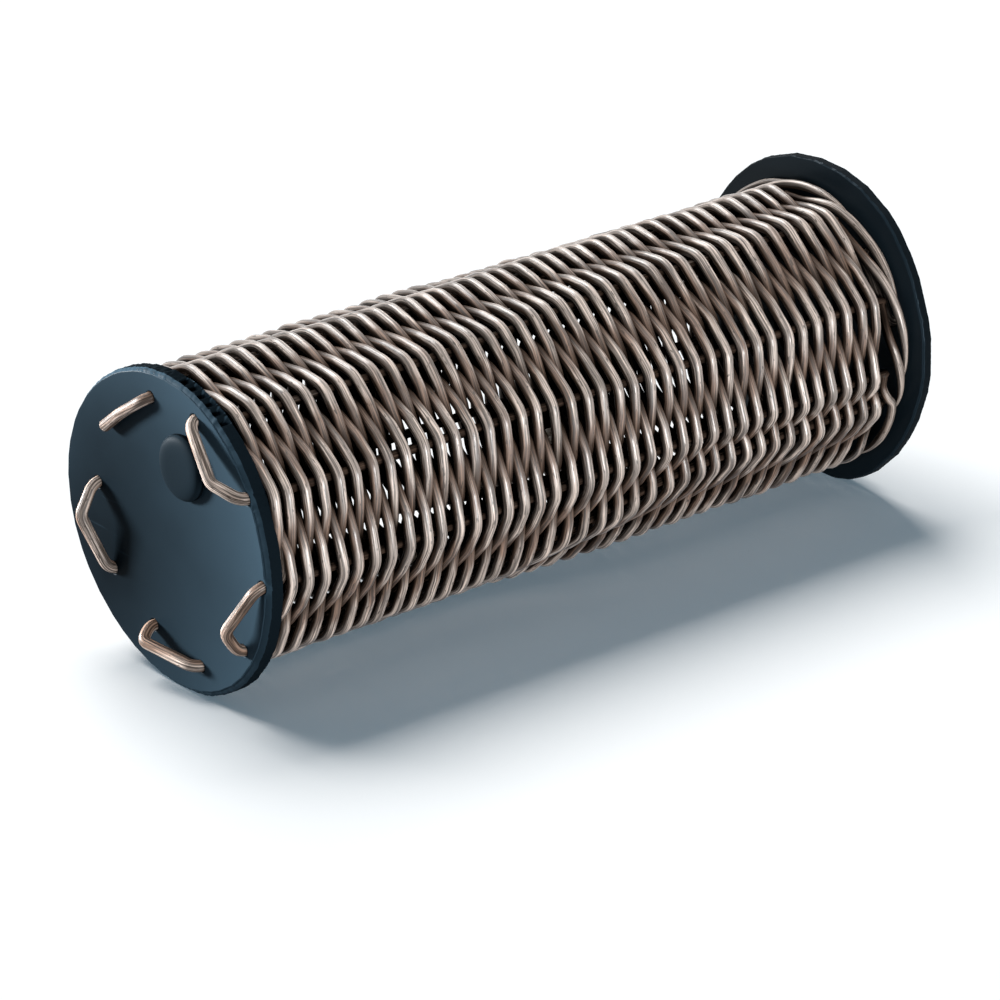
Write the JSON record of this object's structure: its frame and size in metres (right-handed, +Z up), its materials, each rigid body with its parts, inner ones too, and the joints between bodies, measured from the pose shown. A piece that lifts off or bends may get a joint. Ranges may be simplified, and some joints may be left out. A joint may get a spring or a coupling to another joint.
{
  "type": "caxixi shaker",
  "caption": "Woven rattan tube shaker with two black end discs laced on, a domed fill plug in the front disc, and loose seeds inside.",
  "frame": {"origin": "on the floor under the middle of the part's box, as it lies on the rims of its two discs", "axes": "+X along the tube, from the front disc with the fill plug to the rear disc; +Z up"},
  "size_m": [0.233, 0.0912, 0.0903],
  "materials": {
    "disc": "satin black sheet, cut by hand",
    "plug": "satin black",
    "lacing": "round rattan cane, lightly varnished",
    "stake": "round rattan cane",
    "weaver": "round rattan cane, lightly varnished",
    "seed": "smooth hard seed coat"
  },
  "bodies": {
    "shaker": {"front_disc": "disc", "rear_disc": "disc", "fill_plug": "plug", "front_lacing": "lacing", "rear_lacing": "lacing", "stake_01": "stake", "stake_02": "stake", "stake_03": "stake", "stake_04": "stake", "stake_05": "stake", "stake_06": "stake", "stake_07": "stake", "stake_08": "stake", "stake_09": "stake", "stake_10": "stake", "stake_11": "stake", "weaver_01": "weaver", "weaver_02": "weaver", "weaver_03": "weaver", "weaver_04": "weaver", "weaver_05": "weaver", "weaver_06": "weaver", "weaver_07": "weaver", "weaver_08": "weaver", "weaver_09": "weaver", "weaver_10": "weaver", "weaver_11": "weaver", "weaver_12": "weaver"},
    "seed_1": {"seed_1": "seed"},
    "seed_2": {"seed_2": "seed"},
    "seed_3": {"seed_3": "seed"},
    "seed_4": {"seed_4": "seed"},
    "seed_5": {"seed_5": "seed"},
    "seed_6": {"seed_6": "seed"},
    "seed_7": {"seed_7": "seed"},
    "seed_8": {"seed_8": "seed"},
    "seed_9": {"seed_9": "seed"}
  },
  "joints": [
    {"name": "seed_1_slide", "type": "slide", "parent": "shaker", "child": "seed_1", "axis": [1, 0, 0], "range_m": [-0.04395, 0.15715]},
    {"name": "seed_2_slide", "type": "slide", "parent": "shaker", "child": "seed_2", "axis": [1, 0, 0], "range_m": [-0.12088, 0.08022]},
    {"name": "seed_3_slide", "type": "slide", "parent": "shaker", "child": "seed_3", "axis": [1, 0, 0], "range_m": [-0.08916, 0.11194]},
    {"name": "seed_4_slide", "type": "slide", "parent": "shaker", "child": "seed_4", "axis": [1, 0, 0], "range_m": [-0.14754, 0.05356]},
    {"name": "seed_5_slide", "type": "slide", "parent": "shaker", "child": "seed_5", "axis": [1, 0, 0], "range_m": [-0.06547, 0.13563]},
    {"name": "seed_6_slide", "type": "slide", "parent": "shaker", "child": "seed_6", "axis": [1, 0, 0], "range_m": [-0.17155, 0.02955]},
    {"name": "seed_7_slide", "type": "slide", "parent": "shaker", "child": "seed_7", "axis": [1, 0, 0], "range_m": [-0.02323, 0.17787]},
    {"name": "seed_8_slide", "type": "slide", "parent": "shaker", "child": "seed_8", "axis": [1, 0, 0], "range_m": [-0.10547, 0.09563]},
    {"name": "seed_9_slide", "type": "slide", "parent": "shaker", "child": "seed_9", "axis": [1, 0, 0], "range_m": [-0.13205, 0.06905]}
  ]
}
